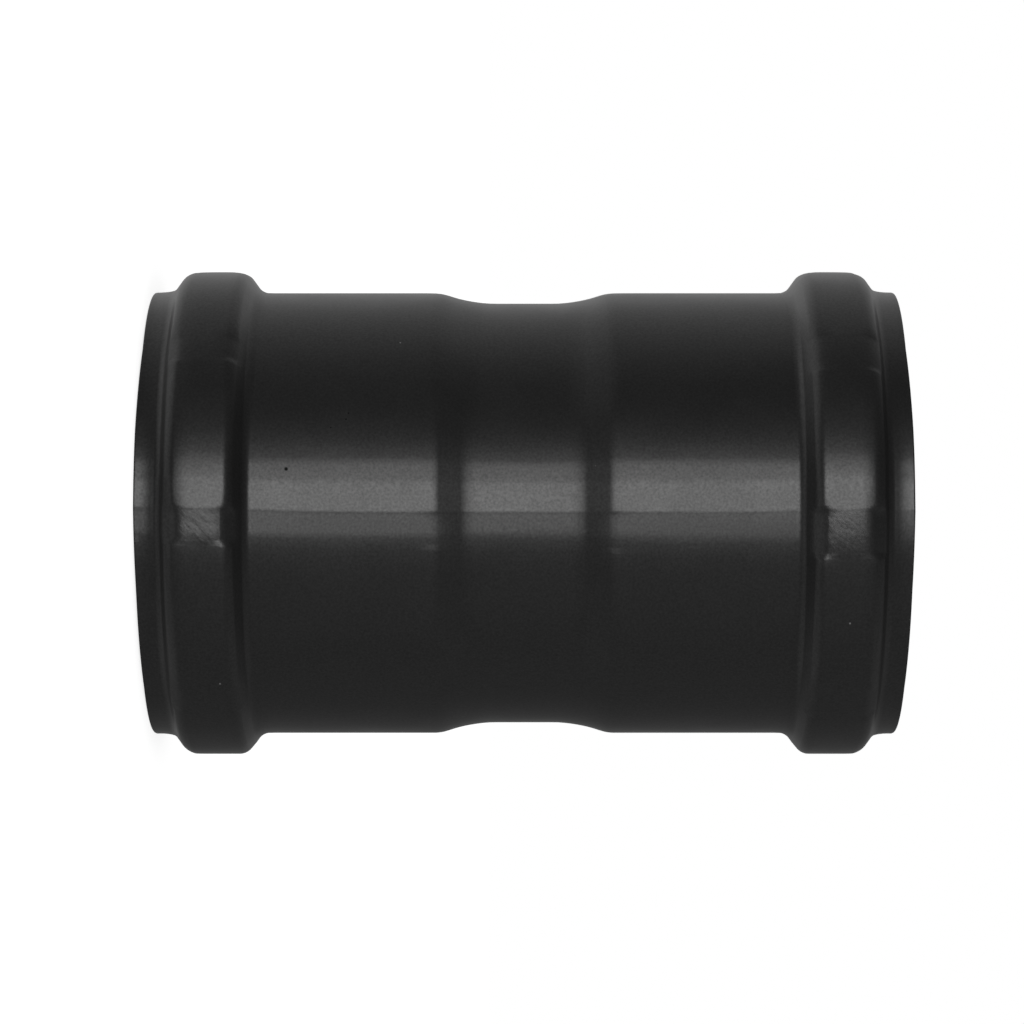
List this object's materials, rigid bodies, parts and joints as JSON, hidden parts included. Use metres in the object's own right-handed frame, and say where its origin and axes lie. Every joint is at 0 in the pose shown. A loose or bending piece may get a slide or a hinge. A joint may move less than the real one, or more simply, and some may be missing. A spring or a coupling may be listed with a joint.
{
  "type": "flue pipe coupling",
  "caption": "Black steel sleeve that joins flue pipes end to end: a plain waist as the pipe stop, a socket at each end, and a lip seal in the raised bead round each socket.",
  "frame": {"origin": "centre of the lower rim, on the surface the coupling stands on", "axes": "+Z along the flue axis, from the lower rim to the upper rim; the coupling is round, so X and Y are any two square directions across it"},
  "size_m": [0.092, 0.092, 0.1402],
  "materials": {
    "black_coat": "satin",
    "seal_silicone": "matte"
  },
  "bodies": {
    "root": {"sleeve": "black_coat", "upper_seal": "seal_silicone", "lower_seal": "seal_silicone"}
  },
  "joints": []
}
